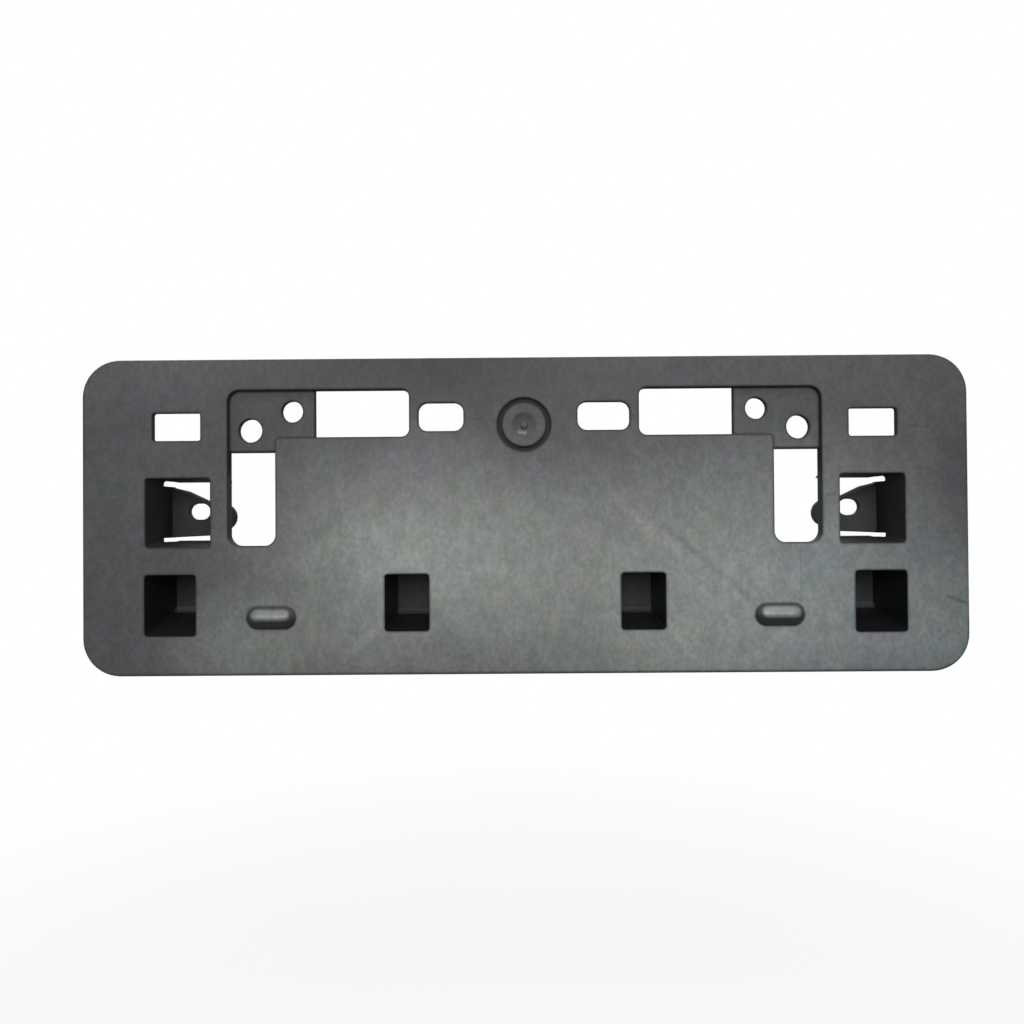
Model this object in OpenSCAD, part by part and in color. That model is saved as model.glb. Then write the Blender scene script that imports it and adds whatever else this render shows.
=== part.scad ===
// Number plate holder for a car's front bumper, one moulding in dark grey plastic.
// Drawn lying down: x to the right, y up, front face at z = 0 and the back towards -z.
// Every drop is measured down from the top edge of the panel, every x from its middle.
// The finished part stands upright with its front towards -Y.
// Its origin is midway between the bumper screw holes, on the back of their tongues.

/* [Panel] */
// Width of the panel
panel_w = 337.6; // [330:0.2:356]
// Height of the panel
panel_h = 120.8; // [118:0.2:130]
// Thickness of the panel and of the ledge floors
panel_t = 2.5; // [2.2:0.1:3]
// Corner radius of the panel seen from the front
corner_r = 14.4; // [10:0.2:18]
// Rounding of the front edge all the way round
edge_r = 1.4; // [0.6:0.1:1.7]
// Reach of the turned-back edge behind the front face
skirt_depth = 8; // [7.5:0.5:12]
// Thickness of the turned-back edge and of every wall on the back
wall_t = 2.2; // [1.9:0.1:2.5]

/* [Number plate screws] */
// Distance between the outer pair of plate screw holes
outer_screw_spacing = 210; // [208:0.5:212]
// Drop of the outer pair
outer_screw_drop = 27.2; // [26.4:0.1:28]
// Diameter of the outer pair
outer_screw_d = 9; // [8:0.1:9.6]
// Distance between the inner pair of plate screw holes
inner_screw_spacing = 177.8; // [176:0.2:179.6]
// Drop of the inner pair
inner_screw_drop = 20; // [19.2:0.1:21]
// Diameter of the inner pair
inner_screw_d = 8.2; // [7.4:0.1:9]

/* [Sunk ledges] */
// Depth of the ledge floors below the front face
ledge_depth = 2.4; // [2:0.1:3.6]
// Drop of the upper edge of the ledge
ledge_top = 11.9; // [11.6:0.1:12.2]
// Drop of the lower end of the upright leg
ledge_bottom = 71.4; // [70:0.1:72]
// Distance from the middle to the inner end of the level leg
ledge_inner_x = 43.8; // [43.4:0.1:46]
// Distance from the middle to the outer side of the upright leg
ledge_outer_x = 113.1; // [112.6:0.1:114]
// Width of both legs
ledge_w = 18.2; // [17.8:0.1:18.6]
// Corner radius on the outer side of the ledge
ledge_outer_r = 4.4; // [3.5:0.1:5]
// Corner radius at the inner end of the level leg
ledge_end_r = 3; // [2:0.1:4]
// Radius in the angle between the legs
ledge_angle_r = 1.3; // [0.8:0.1:2]
// Distance from the middle to the outer end of the upper opening
upper_opening_x = 80.2; // [79:0.1:81]
// Drop of the upper edge of the side opening
side_opening_drop = 35.3; // [34.6:0.1:37]
// Reach of the lip behind the ledge floor above the side opening
lip_h = 4; // [2:0.1:5]

/* [Slots and small windows] */
// Distance from the middle to the outer end of both slots
slot_outer_x = 40.3; // [39.6:0.1:40.6]
// Length of the right-hand slot, which leaves room for movement
slot_long_l = 19.9; // [17:0.1:21]
// Length of the left-hand slot
slot_short_l = 17.2; // [14:0.1:21]
// Height of the slots
slot_h = 10.8; // [9:0.1:12]
// Corner radius of the slots
slot_r = 3.6; // [2.5:0.1:4.4]
// Drop of the centre of the slots
slot_drop = 22.7; // [22:0.1:24]
// Distance from the middle to the centre of a small window
window_x = 132.6; // [131:0.1:135]
// Drop of the centre of the small windows
window_drop = 25.8; // [24:0.1:28]
// Width of a small window
window_w = 18.3; // [16:0.1:20]
// Height of a small window
window_h = 10.6; // [9:0.1:12]
// Corner radius of a small window
window_r = 1; // [0.5:0.1:2]

/* [Bumper tongues] */
// Distance between the bumper screw holes
bumper_screw_spacing = 266; // [264:0.5:268]
// Drop of the bumper screw holes
bumper_screw_drop = 57.8; // [57.4:0.1:58.2]
// Height of a bumper screw hole
bumper_hole_h = 6.6; // [5.5:0.1:7]
// Width of a bumper screw hole, which leaves room for movement
bumper_hole_w = 8.8; // [7.2:0.1:9.4]
// Distance from the front face to the back of the tongues
seat_depth = 27.5; // [24:0.5:28]
// Thickness of a tongue
tongue_t = 3; // [2.5:0.1:3.5]
// Distance from the screw hole in to the tip of the tongue
tongue_reach = 14.6; // [14:0.1:15.4]
// Radius of the tip
tongue_tip_r = 5.5; // [5:0.1:5.8]
// Distance from the screw hole down to the middle of the tip
tongue_tip_drop = 2.3; // [2:0.1:2.6]
// Height of the tongue's upper edge above the screw hole, at its root
tongue_root_rise = 10.2; // [9.8:0.1:10.6]
// Height of the upper edge at its bend
tongue_rise = 8.4; // [8:0.1:8.8]
// Depth of the tongue's lower edge below the screw hole, at its root
tongue_root_fall = 10.6; // [10.3:0.1:10.9]
// Depth of the lower edge at its inner end
tongue_fall = 9.9; // [9.6:0.1:10.2]
// Distance from the screw hole out to the bend in the upper edge
tongue_bend = 5; // [4.4:0.1:5.6]
// Distance from the screw hole in to the foot of the upper edge's slope
tongue_neck = 3.8; // [3.4:0.1:4.2]
// Height of that foot above the screw hole
tongue_neck_rise = 4.2; // [4.1:0.1:4.6]
// Width of the bevel along the tongue's upper edge, measured downwards
tongue_bevel_w = 1.2; // [1:0.1:1.4]
// Depth of that bevel
tongue_bevel_d = 1.6; // [1:0.1:2.3]
// Bite into the upper and lower walls of the slots that free the tongue's root
root_slot_bite = 0.4; // [0.3:0.1:0.8]
// Length of those slots up the outer wall from its back edge
root_slot_l = 11; // [8:0.5:14]
// Distance from the middle to the centre of a tongue window
foot_x = 132.2; // [131.8:0.1:132.8]
// Drop of the centre of the tongue windows
foot_drop = 58.6; // [58.4:0.1:58.8]
// Width of a tongue window
foot_w = 24.8; // [24.4:0.1:25.2]
// Height of a tongue window
foot_h = 26.5; // [26.2:0.1:26.8]
// Lean of the outer wall over the depth of a tongue
foot_side_lean = 0.5; // [0.3:0.1:0.9]
// Lean of the upper wall
foot_top_lean = 0.4; // [0.2:0.1:0.6]
// Lean of the lower wall
foot_floor_lean = 2.2; // [1.6:0.1:2.3]

/* [Standoff boxes] */
// Depth of the boxes' floors below the front face
box_depth = 28; // [24:0.5:30]
// Lean of each straight wall over the depth of a box
box_draft = 1.1; // [0.8:0.05:1.3]
// Corner radius inside a box
box_r = 1.2; // [0.8:0.1:1.6]
// Bevel between the floor and the lower wall
floor_bevel = 1.1; // [0.8:0.1:2]
// Distance from the middle to the centre of an outer box
outer_box_x = 135.2; // [134:0.1:137]
// Drop of the centre of the outer boxes
outer_box_drop = 93.9; // [93.5:0.1:95]
// Width of an outer box
outer_box_w = 19.6; // [18:0.1:21]
// Height of an outer box
outer_box_h = 23.4; // [22:0.1:23.8]
// Lean of the lower wall of an outer box
outer_box_lean = 6.8; // [3:0.1:8]
// Distance from the middle to the centre of an inner box
inner_box_x = 45; // [44:0.1:47]
// Drop of the centre of the inner boxes
inner_box_drop = 93.3; // [93:0.1:95]
// Width of an inner box
inner_box_w = 16.9; // [16:0.1:18]
// Height of an inner box
inner_box_h = 21.7; // [21:0.1:23]
// Lean of the lower wall of an inner box
inner_box_lean = 3.9; // [3:0.1:8]

/* [Raised pads] */
// Distance from the middle to the centre of a pad
pad_x = 96.6; // [95:0.1:99]
// Drop of the centre of the pads
pad_drop = 98.7; // [97:0.1:101]
// Length of a pad
pad_l = 18.7; // [16:0.1:22]
// Width of a pad
pad_w = 8.6; // [8:0.1:10]
// Height of a pad above the front face
pad_h = 3; // [2:0.1:3.6]

/* [Gate mark] */
// Drop of the centre of the gate mark
gate_drop = 25.8; // [25:0.1:27]
// Diameter of the groove round it
gate_d = 20.4; // [18:0.2:21]
// Width of the groove
groove_w = 1.7; // [1:0.1:2]
// Depth of the groove
groove_depth = 1.6; // [1:0.1:2]
// Diameter of the dimple in the middle
dimple_d = 9.2; // [8:0.1:10]
// Depth of the dimple
dimple_depth = 1.4; // [0.8:0.1:1.6]
// Diameter of the stub of the gate
stub_d = 2.8; // [2:0.1:4]

/* [Back] */
// Thickness of the ribs
rib_t = 1.8; // [1.4:0.1:2]
// Height of the ribs behind the panel
rib_h = 4.5; // [3:0.1:4.8]
// Drop of the long rib
long_rib_drop = 76.9; // [76.6:0.1:77.2]
// Distance from the middle to the outer cross ribs
cross_rib_x = 71.5; // [68:0.5:76]
// Diameter of the marks that the ejector pins leave
ejector_d = 6; // [4:0.5:8]
// Depth of those marks
ejector_depth = 0.3; // [0.2:0.1:0.5]

/* [Hidden] */

plastic = "#343436";
half_w = panel_w / 2;
half_h = panel_h / 2;
ledge_back = ledge_depth + panel_t;
ledge_mid_x = ledge_outer_x - ledge_w / 2;
bumper_screw_x = bumper_screw_spacing / 2;
tongue_front = seat_depth - tongue_t;
foot_inner_x = foot_x - foot_w / 2;
foot_outer_x = foot_x + foot_w / 2;
// The root of the tongue ends inside the outer wall
tongue_root_x = foot_outer_x - foot_side_lean + wall_t / 2;
tongue_tip_x = bumper_screw_x - tongue_reach + tongue_tip_r;
outer_box = [outer_box_x, outer_box_drop, outer_box_w, outer_box_h, outer_box_lean];
inner_box = [inner_box_x, inner_box_drop, inner_box_w, inner_box_h, inner_box_lean];
// A bar of this radius, sunk by this much, leaves a pad of the given width and height
pad_r = cap_radius(pad_w, pad_h);
pad_sink = pad_r - pad_h;
dimple_r = cap_radius(dimple_d, dimple_depth);
// Distances from the middle and drops of the ejector pin marks
ejector_marks = [[22, 52], [58, 44], [58, 68], [22, 88], [84, 88], [150, 14], [154, 88]];
// Extra reach of a cut past the surface that it leaves by
past = 1;
// Flat steps in each rounded corner of a leaning block
corner_steps = 5;
$fn = 72;

// Height above the middle of the panel of a feature with the given drop
function up(drop) = half_h - drop;

// Radius of the ball or bar that a cap of this width and height belongs to
function cap_radius(width, height) = (pow(width / 2, 2) + pow(height, 2)) / (2 * height);

module both_sides() {
    children();
    mirror([1, 0, 0]) children();
}

// Turns the lying drawing upright and moves its origin to the bumper screws
module stand() {
    rotate([90, 0, 0])
        translate([0, -up(bumper_screw_drop), seat_depth])
            children();
}

// A flat shape pushed from one depth behind the front face to another
module between(front, back) {
    translate([0, 0, -back]) linear_extrude(back - front) children();
}

module rounded_rect(w, h, r) {
    square([w - 2 * r, h], center = true);
    square([w, h - 2 * r], center = true);
    for (x = [-1, 1], y = [-1, 1])
        translate([x * (w / 2 - r), y * (h / 2 - r)]) circle(r = r);
}

// Points of an upright rectangle with rounded corners at one depth.
// Its edges are given as left, right, lower and upper.
function ring(edges, r, depth) = [
    for (corner = [0:3], step = [0:corner_steps])
        let (
            angle = 90 * (corner + step / corner_steps),
            x = corner == 0 || corner == 3 ? edges[1] - r : edges[0] + r,
            y = corner < 2 ? edges[3] - r : edges[2] + r
        )
        [x + r * cos(angle), y + r * sin(angle), -depth]
];

// Flat-sided body through a row of outlines, from the front one to the back one
module loft(rings) {
    n = len(rings[0]);
    last = len(rings) - 1;
    polyhedron(
        points = [for (each_ring = rings) for (point = each_ring) point],
        faces = concat(
            [[for (i = [n - 1:-1:0]) i]],
            [
                for (k = [0:last - 1], i = [0:n - 1])
                    let (j = (i + 1) % n)
                    [k * n + i, k * n + j, (k + 1) * n + j, (k + 1) * n + i]
            ],
            [[for (i = [0:n - 1]) last * n + i]]
        )
    );
}

module panel() {
    between(0, panel_t)
        rounded_rect(panel_w - 2 * edge_r, panel_h - 2 * edge_r, corner_r - edge_r);
}

// Section of the turned-back edge, measured outwards from the centre of a corner
module rim_section() {
    translate([corner_r - wall_t, -skirt_depth])
        square([wall_t, skirt_depth - edge_r]);
    translate([corner_r - wall_t, -panel_t])
        square([wall_t - edge_r, panel_t]);
    translate([corner_r - edge_r, -edge_r])
        intersection() {
            circle(r = edge_r);
            square(edge_r);
        }
}

module rim_run(length) {
    rotate([90, 0, 90]) linear_extrude(length, center = true) rim_section();
}

// The turned-back edge, swept along the sides and round the corners
module rim() {
    run_x = panel_w - 2 * corner_r;
    run_y = panel_h - 2 * corner_r;
    for (turn = [0, 180]) {
        rotate([0, 0, turn]) translate([0, run_y / 2, 0]) rim_run(run_x);
        rotate([0, 0, turn + 90]) translate([0, run_x / 2, 0]) rim_run(run_y);
    }
    both_sides()
        for (flip = [0, 1])
            mirror([0, flip, 0])
                translate([run_x / 2, run_y / 2, 0])
                    rotate_extrude(angle = 90) rim_section();
}

// Outline of the L-shaped ledge on the right-hand side, grown by a margin
module ledge_outline(grow) {
    level_l = ledge_mid_x - ledge_inner_x;
    upright_l = ledge_bottom - ledge_top;
    translate([ledge_inner_x + level_l / 2, up(ledge_top + ledge_w / 2)])
        rounded_rect(level_l + 2 * grow, ledge_w + 2 * grow, ledge_end_r + grow);
    translate([ledge_mid_x, up(ledge_top + upright_l / 2)])
        rounded_rect(ledge_w + 2 * grow, upright_l + 2 * grow, ledge_outer_r + grow);
}

// Fills the angle between the legs of the ledge outside a radius
module ledge_angle() {
    x = ledge_outer_x - ledge_w - ledge_angle_r;
    y = up(ledge_top + ledge_w) - ledge_angle_r;
    translate([x, y])
        difference() {
            square(ledge_angle_r);
            circle(r = ledge_angle_r);
        }
}

// Walls and floor of the ledge, and the lip above its side opening
module ledge_solid() {
    between(panel_t / 2, ledge_back) ledge_outline(wall_t);
    between(ledge_depth, ledge_back + lip_h)
        translate([ledge_outer_x - ledge_w - wall_t, up(side_opening_drop)])
            square([ledge_w + 2 * wall_t, wall_t]);
}

module ledge_cuts() {
    between(-past, ledge_depth) {
        ledge_outline(0);
        ledge_angle();
    }
    between(-past, ledge_back + past)
        intersection() {
            ledge_outline(0);
            union() {
                square([upper_opening_x, half_h]);
                translate([0, -half_h]) square([half_w, up(side_opening_drop) + half_h]);
            }
        }
    between(0, ledge_back + past) {
        translate([outer_screw_spacing / 2, up(outer_screw_drop)])
            circle(d = outer_screw_d);
        translate([inner_screw_spacing / 2, up(inner_screw_drop)])
            circle(d = inner_screw_d);
    }
}

// Slot between two ends given as distances from the middle
module slot(outer_x, length) {
    translate([outer_x - length / 2, up(slot_drop)]) rounded_rect(length, slot_h, slot_r);
}

module window_cuts() {
    between(-past, panel_t + past) {
        slot(slot_outer_x, slot_long_l);
        mirror([1, 0]) slot(slot_outer_x, slot_short_l);
        for (side = [-1, 1])
            translate([side * window_x, up(window_drop)])
                rounded_rect(window_w, window_h, window_r);
    }
}

// Edges of a box at one depth. Its walls all lean in, the lower one most.
function box_edges(size, grow, depth, lift) = [
    size[0] - size[2] / 2 - grow + box_draft * depth / box_depth,
    size[0] + size[2] / 2 + grow - box_draft * depth / box_depth,
    up(size[1]) - size[3] / 2 - grow + size[4] * depth / box_depth + lift,
    up(size[1]) + size[3] / 2 + grow - box_draft * depth / box_depth
];

// Blind box that stands off the bumper, with a bevel at the foot of its floor
module box(size, grow, front, back) {
    knee = back - floor_bevel;
    loft([
        ring(box_edges(size, grow, front, 0), box_r + grow, front),
        ring(box_edges(size, grow, knee, 0), box_r + grow, knee),
        ring(box_edges(size, grow, back, floor_bevel), box_r + grow, back)
    ]);
}

// Edges of the space behind a tongue window at one depth
function foot_edges(inner_x, grow, depth) = [
    inner_x,
    foot_outer_x + grow - foot_side_lean * depth / seat_depth,
    up(foot_drop) - foot_h / 2 - grow + foot_floor_lean * depth / seat_depth,
    up(foot_drop) + foot_h / 2 + grow - foot_top_lean * depth / seat_depth
];

// The space behind a tongue window, or the three walls round it when grown
module foot(inner_x, grow, front, back) {
    loft([
        for (depth = [front, back])
            ring(foot_edges(inner_x, grow, depth), box_r + grow, depth)
    ]);
}

// Slots that free the root of the tongue from the walls above and below it
module root_slots() {
    edges = foot_edges(foot_inner_x, 0, seat_depth);
    upper = up(bumper_screw_drop) + tongue_root_rise;
    lower = edges[2] - root_slot_bite;
    between(seat_depth - root_slot_l, seat_depth + past)
        translate([foot_outer_x - wall_t, 0]) {
            translate([0, upper]) square([2 * wall_t + past, edges[3] + root_slot_bite - upper]);
            translate([0, lower])
                square([2 * wall_t + past, up(bumper_screw_drop) - tongue_root_fall - lower]);
        }
}

// Corners of the tongue at one depth, with the screw hole at the height of zero
function tongue_corners(lowered, depth) = [
    [tongue_root_x, -tongue_root_fall, -depth],
    [tongue_root_x, tongue_root_rise - lowered, -depth],
    [bumper_screw_x + tongue_bend, tongue_rise - lowered, -depth],
    [bumper_screw_x - tongue_neck, tongue_neck_rise - lowered, -depth],
    [tongue_tip_x, tongue_tip_r - tongue_tip_drop - lowered, -depth],
    [tongue_tip_x, -tongue_tip_r - tongue_tip_drop, -depth],
    [bumper_screw_x - tongue_neck, -tongue_fall, -depth]
];

module bumper_hole() {
    half_travel = (bumper_hole_w - bumper_hole_h) / 2;
    square([2 * half_travel, bumper_hole_h], center = true);
    for (side = [-1, 1])
        translate([side * half_travel, 0]) circle(d = bumper_hole_h);
}

// The sprung tongue that takes the bumper screw, bevelled along its upper edge
module tongue() {
    translate([0, up(bumper_screw_drop), 0])
        difference() {
            union() {
                loft([
                    tongue_corners(tongue_bevel_w, tongue_front),
                    tongue_corners(0, tongue_front + tongue_bevel_d),
                    tongue_corners(0, seat_depth)
                ]);
                between(tongue_front, seat_depth)
                    translate([tongue_tip_x, -tongue_tip_drop]) circle(r = tongue_tip_r);
            }
            between(0, seat_depth + past)
                translate([bumper_screw_x, 0]) bumper_hole();
        }
}

// A long round-ended bar along x
module bar(length, r) {
    rotate([0, 90, 0])
        rotate_extrude()
            intersection() {
                union() {
                    square([2 * r, length - 2 * r], center = true);
                    for (end = [-1, 1])
                        translate([0, end * (length / 2 - r)]) circle(r = r);
                }
                translate([0, -length / 2]) square([r, length]);
            }
}

// The bar that a pad is the top of, thinned all round by the given amount
module pad_bar(thinned) {
    r = pad_r - thinned;
    translate([pad_x, up(pad_drop), -pad_sink]) bar(pad_l - pad_w + 2 * r, r);
}

module pad() {
    intersection() {
        pad_bar(0);
        between(-pad_h - past, panel_t)
            translate([pad_x, up(pad_drop)])
                square([pad_l + 2 * wall_t, pad_w + 2 * wall_t], center = true);
    }
}

// Thickening behind the gate mark
module gate_boss() {
    translate([0, up(gate_drop)])
        between(panel_t / 2, panel_t + groove_depth)
            circle(d = gate_d + 2 * wall_t);
}

module gate_cuts() {
    translate([0, up(gate_drop)]) {
        between(-past, groove_depth)
            difference() {
                circle(d = gate_d);
                circle(d = gate_d - 2 * groove_w);
            }
        translate([0, 0, dimple_r - dimple_depth]) sphere(r = dimple_r);
    }
}

module gate_stub() {
    translate([0, up(gate_drop)]) between(dimple_depth / 3, panel_t) circle(d = stub_d);
}

// Low ribs on the back, one along the panel and three across it
module ribs() {
    low = -half_h + wall_t / 2;
    between(panel_t / 2, panel_t + rib_h) {
        translate([0, up(long_rib_drop)]) square([panel_w - wall_t, rib_t], center = true);
        translate([-rib_t / 2, low]) square([rib_t, up(gate_drop) - low]);
        for (side = [-1, 1])
            translate([side * cross_rib_x - rib_t / 2, low])
                square([rib_t, up(ledge_top + ledge_w + wall_t / 2) - low]);
    }
}

module ejector_cuts() {
    between(panel_t - ejector_depth, panel_t + past)
        for (mark = ejector_marks)
            translate([mark[0], up(mark[1])]) circle(d = ejector_d);
}

module holder() {
    color(plastic)
        stand() {
            difference() {
                union() {
                    panel();
                    rim();
                    gate_boss();
                    ribs();
                    both_sides() {
                        ledge_solid();
                        for (size = [outer_box, inner_box])
                            box(size, wall_t, panel_t / 2, box_depth + panel_t);
                        foot(foot_inner_x + past / 2, wall_t, panel_t / 2, seat_depth);
                        pad();
                    }
                }
                gate_cuts();
                window_cuts();
                both_sides() {
                    ledge_cuts();
                    for (size = [outer_box, inner_box])
                        box(size, 0, -past, box_depth);
                    foot(foot_inner_x, 0, -past, seat_depth + past);
                    root_slots();
                    pad_bar(wall_t);
                    ejector_cuts();
                }
            }
            gate_stub();
            both_sides() tongue();
        }
}

holder();
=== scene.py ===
import math
from types import SimpleNamespace

import bpy
from mathutils import Matrix, Vector

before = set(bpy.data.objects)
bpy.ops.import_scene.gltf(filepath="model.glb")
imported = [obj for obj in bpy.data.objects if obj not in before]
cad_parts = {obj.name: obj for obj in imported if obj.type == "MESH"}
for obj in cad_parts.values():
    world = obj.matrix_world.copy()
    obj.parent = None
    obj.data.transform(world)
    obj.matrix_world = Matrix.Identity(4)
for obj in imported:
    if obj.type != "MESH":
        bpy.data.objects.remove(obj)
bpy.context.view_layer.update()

# The frame: +X to the right seen from the front, +Z up, the front face looks towards -Y. All in metres,
# but for the lists of marks and pockets, which are in millimetres.
# How far the front face stands before the backs of the tongues, and how deep the pockets are.
PANEL_DEPTH = 0.0275
POCKET_DEPTH = 0.028
# Height of the panel's middle and of the gate mark's middle.
PANEL_MIDDLE_Z = -0.0026
GATE_Z = 0.032

# Where one part of the moulding gives way to the next, as a soft step from outside it to inside it.
# Along y: the sunk ledges, the grained front, the raised pads, the openings up to the backs of the ledges,
# and deep in the pockets the fronts of the tongues and the bevels at the foot of the floors.
SUNK_Y = (-0.0268, -0.0262)
GRAINED_Y = (-0.0225, -0.0245)
RAISED_Y = (-0.0276, -0.0279)
OPENING_Y = (-0.0222, -0.0226)
TONGUE_Y = (-0.0022, -0.0026)
FLOOR_FOOT_Y = (-0.0022, -0.0016)
# The panel's rim, from the middle of the panel outwards, and where its grain starts above the foot.
RIM_BESIDE = (0.156, 0.1575)
RIM_ABOVE = (0.0515, 0.053)
ROUND_EDGE_Z = (-0.045, -0.04)
# The gate mark's dish, and the inner and outer edge of its groove, from the mark's middle outwards.
DISH_REACH = (0.005, 0.0045)
GROOVE_INNER = (0.0083, 0.0086)
GROOVE_OUTER = (0.0104, 0.0101)
# A pocket's own edges, and how high the bevel reaches above the foot.
POCKET_EDGE = (0.0002, -0.0002)
FLOOR_FOOT_HEIGHT = (0.0032, 0.0024)
# The way the painted highlight on the pads' crest looks: forward and a little up.
HIGHLIGHT_NORMAL = (0.0, -0.943, 0.333)

# The camera: level with the middle of the panel and almost square to it.
CAMERA_PLACE = (-0.0038, -0.3428, -0.0044)
CAMERA_TURN = (0.185, 0.558, -0.424)  # yaw, pitch and roll in degrees
CAMERA_LENS = 29.15
CAMERA_SENSOR = 36.0

# Soft lamps: name, place, what they aim at, width, height, watts.
LAMPS = [
    ("overhead", (0.0, -0.6, 0.8), (0.0, 0.0, -0.02), 1.0, 0.5, 2.4),
    ("front", (0.0, -0.85, 0.2), (0.0, -0.03, -0.03), 0.8, 0.4, 5.2),
    ("behind", (0.0, 0.8, 1.0), (0.0, 0.0, 0.0), 2.2, 0.5, 14.0),
]
FLOOR_Z = -0.25
FLOOR_HALF = 3.0
# How much of the white background a glossy ray sees. The plastic is matt, so it is a part only.
GLOSSY_SHARE = 0.25

# Colours of the plastic. Pairs go from where it is darkest to where it is palest. The grained front is paler
# partly as painted sheen, and the smooth insides are darker partly as painted shade.
GRAINED_WITH_SHEEN = ((0.034, 0.0335, 0.036, 1), (0.29, 0.301, 0.294, 1))
SMOOTH_WITH_SHADE = ((0.02, 0.0195, 0.0215, 1), (0.03, 0.0295, 0.0315, 1))
# The tongue fronts are a darker copy of the face, as painted shade.
TONGUE_FRONT_SHADED = ((0.02, 0.0195, 0.0215, 1), (0.068, 0.067, 0.073, 1))
# The pad sides go from painted shade where they look down to painted light where they look up.
PAD_SIDE_SHADED_TO_LIT = ((0.012, 0.012, 0.013, 1), (0.056, 0.055, 0.058, 1))
DULL = ((0.045, 0.0445, 0.047, 1), (0.105, 0.105, 0.107, 1))
# Painted shade on the pocket walls.
POCKET_WALL_SHADE = (0.009, 0.009, 0.0105, 1)
# A painted glint on the bevels at the foot of the box floors.
FLOOR_FOOT_GLINT = (0.048, 0.048, 0.055, 1)
# Painted shade in the gate mark's groove.
GROOVE_SHADE = (0.008, 0.008, 0.008, 1)
# A painted highlight along the pads' crest.
PAD_CREST_HIGHLIGHT = (0.42, 0.42, 0.425, 1)
SCUFF = (0.44, 0.44, 0.43, 1)
DRAG_MARK_AND_HIGHLIGHT = (0.44, 0.45, 0.44, 1)
WELD_LINE = (0.03, 0.03, 0.032, 1)
# Faint drifts of hue, which the colour is multiplied by.
PURPLISH_TO_GREENISH = ((1.035, 0.97, 1.04, 1), (0.965, 1.025, 0.97, 1))
YELLOWISH_TO_BLUISH = ((1.02, 1.005, 0.965, 1), (0.98, 0.995, 1.035, 1))
BLUISH_CORNER = (0.965, 1.0, 1.045, 1)

# Faint marks on the front face: x, z, slant below level in degrees, length, width, strength.
# Weld lines and insert lines, the same on both sides.
PAIRED_LINES = [
    (42.2, 35.2, 0, 6, 1.8, 0.6),
    (96.5, 41.5, -28, 9, 2.4, 0.4),
    (116.6, 4.5, 0, 5, 3.0, 0.5),
    (104.7, -25.5, 90, 26, 1.6, 0.22),
]
# Weld lines on one side only.
SINGLE_LINES = [
    (-17.5, 34.2, 4, 15, 1.8, 0.45),
    (149.0, 30.2, 4, 14, 2.0, 0.4),
    (164.0, -36.0, 20, 12, 2.4, 0.5),
    (-164.0, -39.5, -14, 11, 2.6, 0.45),
    (68.0, -20.0, 40, 62, 4.5, 0.22),
]
# Pale drag marks, and last a painted highlight in the gate mark's dish, below its stub.
DRAG_MARKS_AND_GATE_HIGHLIGHT = [
    (46.0, -6.5, 41, 46, 6.0, 0.15),
    (60.0, -52.5, 50, 24, 6.0, 0.19),
    (-63.5, -9.5, 48, 20, 2.0, 0.14),
    (-60.0, -48.0, -42, 24, 6.0, 0.18),
    (-72.0, -14.0, -24, 60, 13.0, 0.12),
    (92.0, -52.0, -38, 30, 8.0, 0.12),
    # A painted highlight below the gate mark's stub.
    (-0.6, 29.0, 8, 4.2, 2.4, 0.5),
]
# Pools of painted light on the front: x, z, half width, half height, strength. Those with a strength below
# zero are painted shade, darker.
PAINTED_LIGHT_AREAS = [
    (-42, -15, 95, 60, 0.6),
    (80, -24, 120, 68, 0.57),
    (45, -60, 200, 60, 0.25),
    (-110, -52, 45, 30, 0.3),
    (165, -45, 50, 40, 0.25),
    (-46, -18, 38, 24, 0.14),
    (40, -8, 30, 26, 0.08),
    (-68, -50, 34, 24, 0.06),
    (116, -52, 34, 24, 0.07),
    (-140, 53, 44, 20, 0.06),
    (-30, 56, 74, 22, -0.08),
    (168, 6, 18, 44, -0.07),
]
# The pockets, the same on both sides: x of the middle, half width, top, foot at the front, rise of the foot.
WINDOW = (126.0, 19.5, 13.3, -15.1, 2.2)
OUTER_BOX = (135.2, 10.35, -23.85, -48.9, 6.8)
INNER_BOX = (45.0, 9.0, -23.9, -47.45, 3.9)


def make_camera():
    yaw, pitch, roll = (math.radians(angle) for angle in CAMERA_TURN)
    cy, sy = math.cos(yaw), math.sin(yaw)
    cp, sp = math.cos(pitch), math.sin(pitch)
    cr, sr = math.cos(roll), math.sin(roll)
    right = Vector((cr * cy + sr * sp * sy, cr * sy - sr * sp * cy, sr * cp))
    up = Vector((-sr * cy + cr * sp * sy, -sr * sy - cr * sp * cy, cr * cp))
    ahead = Vector((-cp * sy, cp * cy, sp))
    data = bpy.data.cameras.new("camera")
    data.sensor_width = CAMERA_SENSOR
    data.lens = CAMERA_LENS
    data.clip_start = 0.01
    data.clip_end = 50.0
    camera = bpy.data.objects.new("camera", data)
    turn = Matrix((right, up, -ahead)).transposed().to_4x4()
    camera.matrix_world = Matrix.Translation(CAMERA_PLACE) @ turn
    bpy.context.scene.collection.objects.link(camera)
    bpy.context.scene.camera = camera


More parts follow.
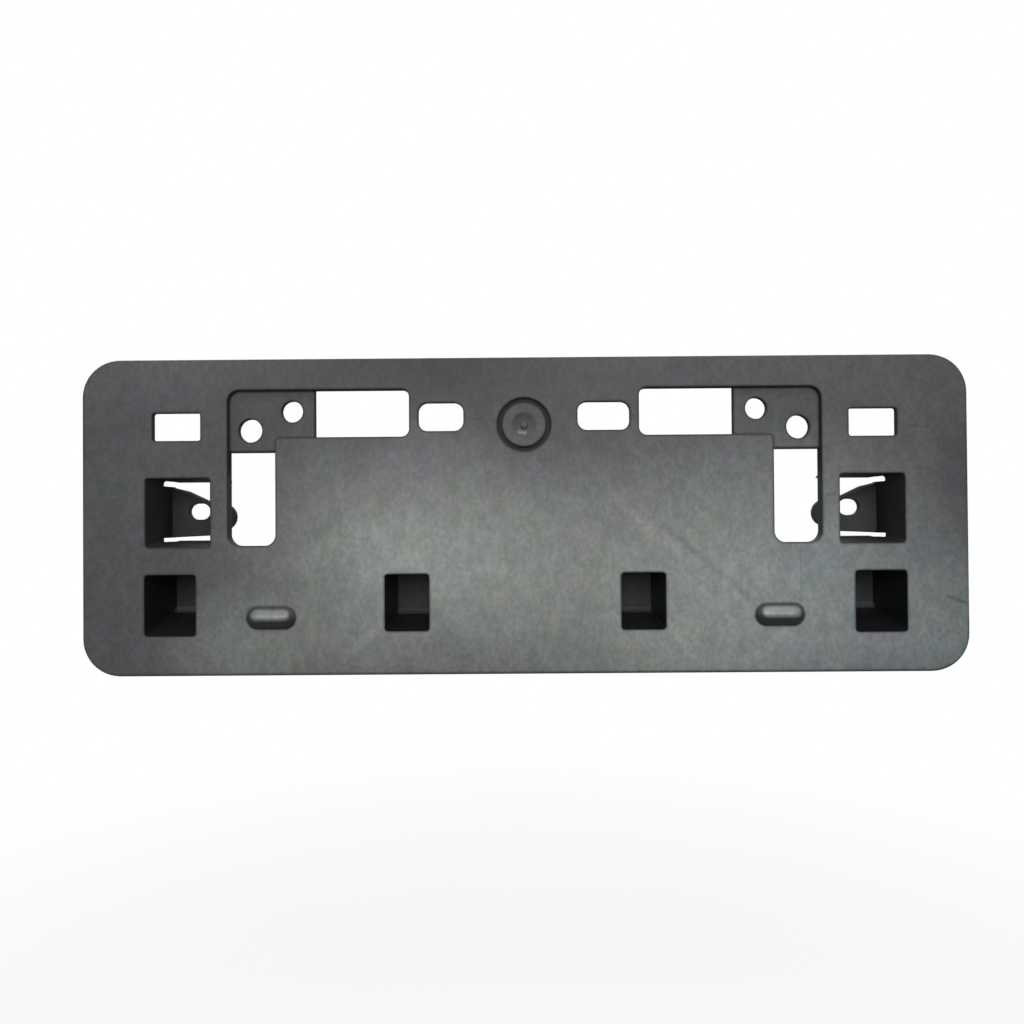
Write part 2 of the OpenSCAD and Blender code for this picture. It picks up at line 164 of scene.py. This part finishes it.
class Nodes:
    """A node tree that is filled by short calls. An input is a value or another node's socket."""

    def __init__(self, tree):
        self.tree = tree
        tree.nodes.clear()

    def add(self, kind, inputs=None, **settings):
        node = self.tree.nodes.new(kind)
        for name, value in settings.items():
            setattr(node, name, value)
        for name, value in (inputs or {}).items():
            if isinstance(value, bpy.types.NodeSocket):
                self.tree.links.new(value, node.inputs[name])
            else:
                node.inputs[name].default_value = value
        return node

    def math(self, operation, a, b=0.0, c=0.0, clamp=False):
        return self.add("ShaderNodeMath", {0: a, 1: b, 2: c}, operation=operation, use_clamp=clamp).outputs[0]

    def product(self, first, *others):
        for other in others:
            first = self.math("MULTIPLY", first, other)
        return first

    def most(self, first, *others):
        for other in others:
            first = self.math("MAXIMUM", first, other)
        return first

    def without(self, mask, other):
        """What of a mask lies outside another one."""
        return self.math("SUBTRACT", mask, other, clamp=True)

    def vector(self, operation, a, b=(0.0, 0.0, 0.0)):
        outputs = self.add("ShaderNodeVectorMath", {0: a, 1: b}, operation=operation).outputs
        return outputs["Value" if operation in ("LENGTH", "DOT_PRODUCT") else "Vector"]

    def split(self, vector):
        return tuple(self.add("ShaderNodeSeparateXYZ", {0: vector}).outputs)

    def noise(self, place, scale, detail=2.0, roughness=0.5, distortion=0.0):
        inputs = {
            "Vector": place,
            "Scale": scale,
            "Detail": detail,
            "Roughness": roughness,
            "Distortion": distortion,
        }
        return self.add("ShaderNodeTexNoise", inputs).outputs["Fac"]

    def streaks(self, place, degrees, stretch, shift=0.0, detail=2.0, roughness=0.5, distortion=0.0):
        """Noise that is turned in the plane of the panel and drawn out along one axis."""
        turned = self.add(
            "ShaderNodeVectorRotate",
            {"Vector": place, "Axis": (0.0, 1.0, 0.0), "Angle": math.radians(degrees)},
        ).outputs[0]
        drawn = self.add(
            "ShaderNodeMapping",
            {"Vector": turned, "Location": (shift, 0.0, 0.3 * shift), "Scale": stretch},
        ).outputs[0]
        return self.noise(drawn, 1.0, detail, roughness, distortion)

    def span(self, value, low, high, to_low=0.0, to_high=1.0):
        """A soft step from one value at low to another at high, which may lie below it."""
        inputs = {
            "Value": value,
            "From Min": low,
            "From Max": high,
            "To Min": to_low,
            "To Max": to_high,
        }
        return self.add("ShaderNodeMapRange", inputs, interpolation_type="SMOOTHSTEP").outputs["Result"]

    def mix(self, factor, a, b, blend="MIX"):
        inputs = {0: factor, 6: a, 7: b}
        return self.add("ShaderNodeMix", inputs, data_type="RGBA", blend_type=blend).outputs[2]

    def tinted(self, colour, tint):
        return self.mix(1.0, colour, tint, "MULTIPLY")


# In the functions of the plastic, n is its node tree and s gathers what is known of a point on the surface.
def read_surface(n):
    """Where a point lies and which way it looks, with the edges softened over 1.1 mm and over 1.7 mm."""
    place = n.add("ShaderNodeTexCoord").outputs["Object"]
    x, y, z = n.split(place)
    soft = n.add("ShaderNodeBevel", {"Radius": 0.0011}, samples=6).outputs[0]
    softer = n.add("ShaderNodeBevel", {"Radius": 0.0017}, samples=6).outputs[0]
    ahead, up = n.split(soft)[1:]
    return SimpleNamespace(
        place=place, x=x, y=y, z=z, beside=n.math("ABSOLUTE", x),
        soft=soft, ahead=ahead, up=up, softer_ahead=n.split(softer)[1],
    )


def pocket_masks(n, s, pocket):
    """What lies in a pocket, and what of that lies low on its floor."""
    x, half_width, top, foot, rise = (size / 1000 for size in pocket)
    depth = n.math("MULTIPLY_ADD", s.y, 1 / POCKET_DEPTH, PANEL_DEPTH / POCKET_DEPTH)
    foot = n.math("MULTIPLY_ADD", depth, rise, foot)
    outside = n.most(
        n.math("SUBTRACT", n.math("ABSOLUTE", n.math("SUBTRACT", s.beside, x)), half_width),
        n.math("SUBTRACT", s.z, top),
        n.math("SUBTRACT", foot, s.z),
    )
    within = n.span(outside, *POCKET_EDGE)
    low = n.product(within, n.span(n.math("SUBTRACT", s.z, foot), *FLOOR_FOOT_HEIGHT))
    return within, low


def add_masks(n, s):
    """Which part of the moulding a point belongs to."""
    s.sunk = n.span(s.y, *SUNK_Y)
    near_front = n.span(s.y, *GRAINED_Y)
    rim = n.most(
        n.span(s.beside, *RIM_BESIDE),
        n.span(n.math("ABSOLUTE", n.math("SUBTRACT", s.z, PANEL_MIDDLE_Z)), *RIM_ABOVE),
    )
    # The grained face: what looks forward at the front of the panel or in the sunk ledges, paler partly as
    # painted sheen. It stops short of the edges of the openings, which stay darker as painted shade, and runs
    # round the panel's top and sides.
    round_edge = n.product(rim, n.span(s.z, *ROUND_EDGE_Z), n.span(s.ahead, -0.45, -0.95))
    face = n.product(near_front, n.most(n.span(s.softer_ahead, -0.9, -0.99), round_edge))
    # The pads are smooth, with a painted highlight along the crest and just above it.
    s.raised = n.span(s.y, *RAISED_Y)
    s.crest = n.product(n.span(n.vector("DOT_PRODUCT", s.soft, HIGHLIGHT_NORMAL), 0.8, 1.0), 0.8)
    face = n.math("MULTIPLY_ADD", n.math("SUBTRACT", s.crest, face), s.raised, face)
    # The gate mark has a smooth groove, painted darker as shade further down, and a grained dish.
    gate = n.vector("MULTIPLY", n.vector("SUBTRACT", s.place, (0.0, 0.0, GATE_Z)), (1.0, 0.0, 1.0))
    gate = n.vector("LENGTH", gate)
    s.groove = n.product(n.span(gate, *GROOVE_INNER), n.span(gate, *GROOVE_OUTER), s.sunk)
    dish = n.product(n.span(gate, *DISH_REACH), n.span(s.ahead, -0.5, -0.8), near_front)
    s.face = n.most(n.product(face, n.math("SUBTRACT", 1.0, s.groove)), dish)

    # The insides of pockets and openings are smooth, and darker partly as painted shade. What looks backwards
    # or outwards is dull.
    window, low_window = pocket_masks(n, s, WINDOW)
    outer, low_outer = pocket_masks(n, s, OUTER_BOX)
    inner, low_inner = pocket_masks(n, s, INNER_BOX)
    s.boxes = n.most(outer, inner)
    s.pocket = n.most(window, s.boxes)
    front = n.product(n.span(s.y, *OPENING_Y), n.math("SUBTRACT", 1.0, rim))
    s.opening = n.without(front, s.pocket)
    s.inside = n.product(n.most(front, s.pocket), n.span(s.ahead, 0.85, 0.35))
    s.wall = n.span(s.ahead, -0.75, -0.5)
    s.floor_foot = n.product(n.most(low_window, low_outer, low_inner), n.span(s.y, *FLOOR_FOOT_Y))
    s.tongue_front = n.product(s.pocket, n.span(s.y, *TONGUE_Y), n.span(s.ahead, -0.6, -0.8))


def add_tone_and_light(n, s):
    """How pale a point is: blotches and streaks from the melt's flow, and pools of painted light where the
    front is paler.
    """
    uneven = -0.64
    for layer, weight in (
        (n.noise(s.place, 34.0, 4.0, 0.55, 0.6), 0.42),
        (n.noise(s.place, 11.0, 2.0, 0.5, 0.3), 0.5),
        (n.streaks(s.place, -48.0, (7.0, 20.0, 70.0), 0.0, 3.0, 0.55, 0.4), 0.2),
        (n.streaks(s.place, 38.0, (9.0, 20.0, 60.0), 3.1, 3.0, 0.5, 0.5), 0.16),
    ):
        uneven = n.math("MULTIPLY_ADD", layer, weight, uneven)
    s.uneven = uneven
    s.worn = 0.12
    for x, z, half_width, half_height, strength in PAINTED_LIGHT_AREAS:
        area = n.add(
            "ShaderNodeMapping",
            {
                "Vector": s.place,
                "Location": (-x / half_width, 0.0, -z / half_height),
                "Scale": (1000 / half_width, 0.0, 1000 / half_height),
            },
        ).outputs[0]
        s.worn = n.math("ADD", s.worn, n.span(n.vector("LENGTH", area), 1.0, 0.0, 0.0, strength))
    # Where the painted light is stronger the tone swings more, and the ledges lie a little darker.
    swing = n.math("MULTIPLY_ADD", s.worn, 0.6, 0.14)
    tone = n.math("MULTIPLY_ADD", uneven, swing, s.worn, clamp=True)
    s.tone = n.without(tone, n.product(s.sunk, 0.03))


def plain_colour(n, s):
    """The plastic's colour in each part of the moulding."""
    smooth_with_shade = n.mix(s.tone, *SMOOTH_WITH_SHADE)
    # The pocket walls are painted near-black, as painted shade.
    smooth_with_shade = n.mix(s.wall, smooth_with_shade, POCKET_WALL_SHADE)
    # The bevels at the foot of the box floors get a paler painted glint.
    smooth_with_shade = n.mix(s.floor_foot, smooth_with_shade, FLOOR_FOOT_GLINT)
    # The fronts of the tongues are a darker copy of the face, as painted shade, and follow its tone and
    # painted light more than the box floors do.
    smooth_with_shade = n.mix(s.tongue_front, smooth_with_shade, n.mix(s.tone, *TONGUE_FRONT_SHADED))
    # The pads' sides are painted darker where they look down and paler where they look up, as painted shade
    # and light.
    smooth_with_shade = n.mix(s.raised, smooth_with_shade, n.mix(n.span(s.up, -0.35, 0.35), *PAD_SIDE_SHADED_TO_LIT))
    dull = n.mix(n.math("ADD", s.uneven, 0.5, clamp=True), *DULL)
    # Forward-looking grained parts take the pale colours, partly as painted sheen; the insides take the dark
    # ones, partly as painted shade.
    colour = n.mix(s.face, n.mix(s.inside, dull, smooth_with_shade), n.mix(s.tone, *GRAINED_WITH_SHEEN))
    # The gate mark's groove is painted darker, as painted shade.
    colour = n.mix(n.product(s.groove, 0.5), colour, GROOVE_SHADE)
    # A pale painted highlight along the pads' crest.
    return n.mix(n.product(s.crest, s.raised, 0.31), colour, PAD_CREST_HIGHLIGHT)


def drift_hue(n, s, colour):
    """The faint drift between purplish and greenish greys, and between yellowish and bluish ones."""
    drift = n.math("MULTIPLY_ADD", n.noise(s.place, 130.0), 0.5, n.product(s.worn, 0.2))
    drift = n.math("MULTIPLY_ADD", n.noise(s.place, 28.0, 3.0, 0.5, 1.0), 0.5, drift)
    colour = n.tinted(colour, n.mix(n.span(drift, 0.42, 0.66), *PURPLISH_TO_GREENISH))
    drift = n.span(n.noise(s.place, 85.0, 3.0), 0.36, 0.64)
    colour = n.tinted(colour, n.mix(drift, *YELLOWISH_TO_BLUISH))
    corner = n.product(n.span(s.x, 0.03, 0.12), n.span(s.z, 0.03, -0.03))
    return n.mix(corner, colour, n.tinted(colour, BLUISH_CORNER))


def add_scuffs(n, s, colour):
    """Thin pale rub marks, and short dusty scratches."""
    rubs = n.span(n.streaks(s.place, -52.0, (5.0, 30.0, 420.0), 1.7), 0.66, 0.78)
    rubs = n.product(rubs, n.span(n.noise(s.place, 16.0, 1.0), 0.5, 0.64))
    nicks = n.span(n.streaks(s.place, 27.0, (40.0, 60.0, 900.0), 5.3, 1.0), 0.74, 0.8)
    scuffs = n.math("ADD", n.product(rubs, 0.06), n.product(nicks, 0.025), clamp=True)
    s.scuffs = n.product(scuffs, n.without(s.face, s.sunk))
    return n.mix(s.scuffs, colour, SCUFF)


def line_mask(n, position, mark):
    """One weld line or drag mark, softer at its sides and ends."""
    x, z, degrees, length, width, strength = mark
    local = n.add(
        "ShaderNodeMapping",
        {
            "Vector": position,
            "Location": (x / 1000, 0.0, z / 1000),
            "Rotation": (0.0, math.radians(degrees), 0.0),
            "Scale": (length / 2000, 1.0, width / 2000),
        },
        vector_type="TEXTURE",
    ).outputs[0]
    along, _, across = n.split(n.vector("ABSOLUTE", local))
    return n.product(n.span(along, 1.0, 0.5, 0.0, strength), n.span(across, 1.0, 0.0))


def add_lines(n, s, colour):
    """Weld lines, insert lines, drag marks and a painted highlight in the gate mark's dish, broken up a
    little along their length.
    """
    broken = n.product(n.span(n.noise(s.place, 180.0), 0.3, 0.6, 0.35, 1.0), s.face)
    flat = n.vector("MULTIPLY", s.place, (1.0, 0.0, 1.0))
    folded = n.add("ShaderNodeCombineXYZ", {"X": s.beside, "Z": s.z}).outputs[0]
    dark = [line_mask(n, folded, mark) for mark in PAIRED_LINES]
    dark += [line_mask(n, flat, mark) for mark in SINGLE_LINES]
    pale = [line_mask(n, flat, mark) for mark in DRAG_MARKS_AND_GATE_HIGHLIGHT]
    colour = n.mix(n.product(n.most(*dark), broken), colour, WELD_LINE)
    return n.mix(n.product(n.most(*pale), broken), colour, DRAG_MARK_AND_HIGHLIGHT)


def add_mottling(n, s, colour):
    """The fine grain, and mottling a few millimetres across, drawn out a little upwards."""
    s.grain = n.noise(s.place, 2600.0, 2.0, 0.6)
    colour = n.tinted(colour, n.span(s.grain, 0.42, 0.6, 0.93, 1.06))
    for stretch, shift, low, high in (
        ((620.0, 500.0, 470.0), 0.0, 0.9, 1.1),
        ((250.0, 200.0, 170.0), 2.3, 0.92, 1.08),
    ):
        mottle = n.streaks(s.place, 0.0, stretch, shift)
        colour = n.tinted(colour, n.span(mottle, 0.33, 0.67, low, high))
    return colour


def roughness(n, s):
    """How matt the plastic is: less on the front, pads, rubs and box walls, more on the openings' walls."""
    rough = n.product(n.math("SUBTRACT", s.tone, 0.5), -0.18)
    for mask, amount in (
        (n.math("SUBTRACT", s.grain, 0.5), 0.25),
        (s.scuffs, -0.25),
        (s.face, -0.12),
        (s.raised, -0.3),
        (n.product(s.opening, s.wall), 0.26),
        (n.product(s.boxes, s.wall), -0.22),
    ):
        rough = n.math("MULTIPLY_ADD", mask, amount, rough)
    return n.math("ADD", rough, 0.68, clamp=True)


def relief(n, s):
    """The texture of the mould's surface: a slight wave, fine pores and a finer grain."""
    pores = n.add("ShaderNodeTexVoronoi", {"Vector": s.place, "Scale": 1500.0}, feature="SMOOTH_F1")
    normal = s.soft
    for height, strength, distance in (
        (n.noise(s.place, 60.0), 0.12, 0.0006),
        (pores.outputs["Distance"], 0.1, 0.00008),
        (s.grain, 0.16, 0.00008),
    ):
        normal = n.add(
            "ShaderNodeBump",
            {"Height": height, "Strength": strength, "Distance": distance, "Normal": normal},
        ).outputs[0]
    return normal


def moulded_plastic():
    """Dark grey plastic, finely grained, streaked by the melt's flow and lightly scuffed on the front."""
    material = bpy.data.materials.new("dark_plastic")
    material.use_nodes = True
    n = Nodes(material.node_tree)
    s = read_surface(n)
    add_masks(n, s)
    add_tone_and_light(n, s)
    colour = plain_colour(n, s)
    for step in (drift_hue, add_scuffs, add_lines, add_mottling):
        colour = step(n, s, colour)
    shader = n.add(
        "ShaderNodeBsdfPrincipled",
        {
            "Base Color": colour,
            "Roughness": roughness(n, s),
            "Normal": relief(n, s),
            "IOR": 1.49,
            "Specular IOR Level": 0.5,
        },
    )
    n.add("ShaderNodeOutputMaterial", {"Surface": shader.outputs[0]})
    return material


def finish_plastic():
    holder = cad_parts["holder"]
    plastic = moulded_plastic()
    if not holder.data.materials:
        holder.data.materials.append(plastic)
    for slot in holder.material_slots:
        slot.material = plastic


def background_share(n):
    """How much of the white background a ray sees: the camera's and those through glass see all of it."""
    rays = n.add("ShaderNodeLightPath").outputs
    direct = n.most(rays["Is Camera Ray"], rays["Is Transmission Ray"])
    return n.most(direct, n.product(rays["Is Glossy Ray"], GLOSSY_SHARE))


def make_floor():
    """A pale floor below the part, which runs out into the white background far from it."""
    mesh = bpy.data.meshes.new("floor")
    corners = [(-1, -1), (1, -1), (1, 1), (-1, 1)]
    mesh.from_pydata([(x * FLOOR_HALF, y * FLOOR_HALF, FLOOR_Z) for x, y in corners], [], [(0, 1, 2, 3)])
    floor = bpy.data.objects.new("floor", mesh)
    bpy.context.scene.collection.objects.link(floor)
    material = bpy.data.materials.new("floor")
    material.use_nodes = True
    n = Nodes(material.node_tree)
    pale = n.add("ShaderNodeBsdfDiffuse", {"Color": (0.9, 0.9, 0.9, 1)})
    dim = n.add("ShaderNodeBsdfDiffuse", {"Color": (0.2, 0.2, 0.2, 1)})
    white = n.add("ShaderNodeEmission", {"Color": (1, 1, 1, 1), "Strength": 1.0})
    place = n.add("ShaderNodeTexCoord").outputs["Object"]
    reach = n.vector("LENGTH", n.vector("MULTIPLY", place, (1.0, 1.0, 0.0)))
    seen = n.add(
        "ShaderNodeMixShader",
        {0: n.span(reach, 0.2, 0.6, 0.7, 1.0), 1: pale.outputs[0], 2: white.outputs[0]},
    )
    surface = n.add("ShaderNodeMixShader", {0: background_share(n), 1: dim.outputs[0], 2: seen.outputs[0]})
    n.add("ShaderNodeOutputMaterial", {"Surface": surface.outputs[0]})
    mesh.materials.append(material)


def make_world():
    """A white background that doesn't light the part, and a soft grey that does, brighter from above."""
    world = bpy.data.worlds.new("world")
    bpy.context.scene.world = world
    world.use_nodes = True
    n = Nodes(world.node_tree)
    height = n.split(n.add("ShaderNodeTexCoord").outputs["Generated"])[2]
    shade = n.mix(n.span(height, -0.3, 0.8), (0.035, 0.035, 0.035, 1), (0.22, 0.22, 0.22, 1))
    light = n.add("ShaderNodeBackground", {"Color": shade, "Strength": 1.0})
    white = n.add("ShaderNodeBackground", {"Color": (1, 1, 1, 1), "Strength": 1.0})
    mixed = n.add("ShaderNodeMixShader", {0: background_share(n), 1: light.outputs[0], 2: white.outputs[0]})
    n.add("ShaderNodeOutputWorld", {"Surface": mixed.outputs[0]})


def softbox(name, place, aim, width, height, watts):
    data = bpy.data.lights.new(name, "AREA")
    data.shape = "RECTANGLE"
    data.size = width
    data.size_y = height
    data.energy = watts
    lamp = bpy.data.objects.new(name, data)
    lamp.location = place
    lamp.rotation_mode = "QUATERNION"
    lamp.rotation_quaternion = (Vector(aim) - Vector(place)).to_track_quat("-Z", "Y")
    bpy.context.scene.collection.objects.link(lamp)


make_camera()
finish_plastic()
make_floor()
make_world()
for lamp in LAMPS:
    softbox(*lamp)

bpy.context.scene.view_settings.view_transform = "Standard"
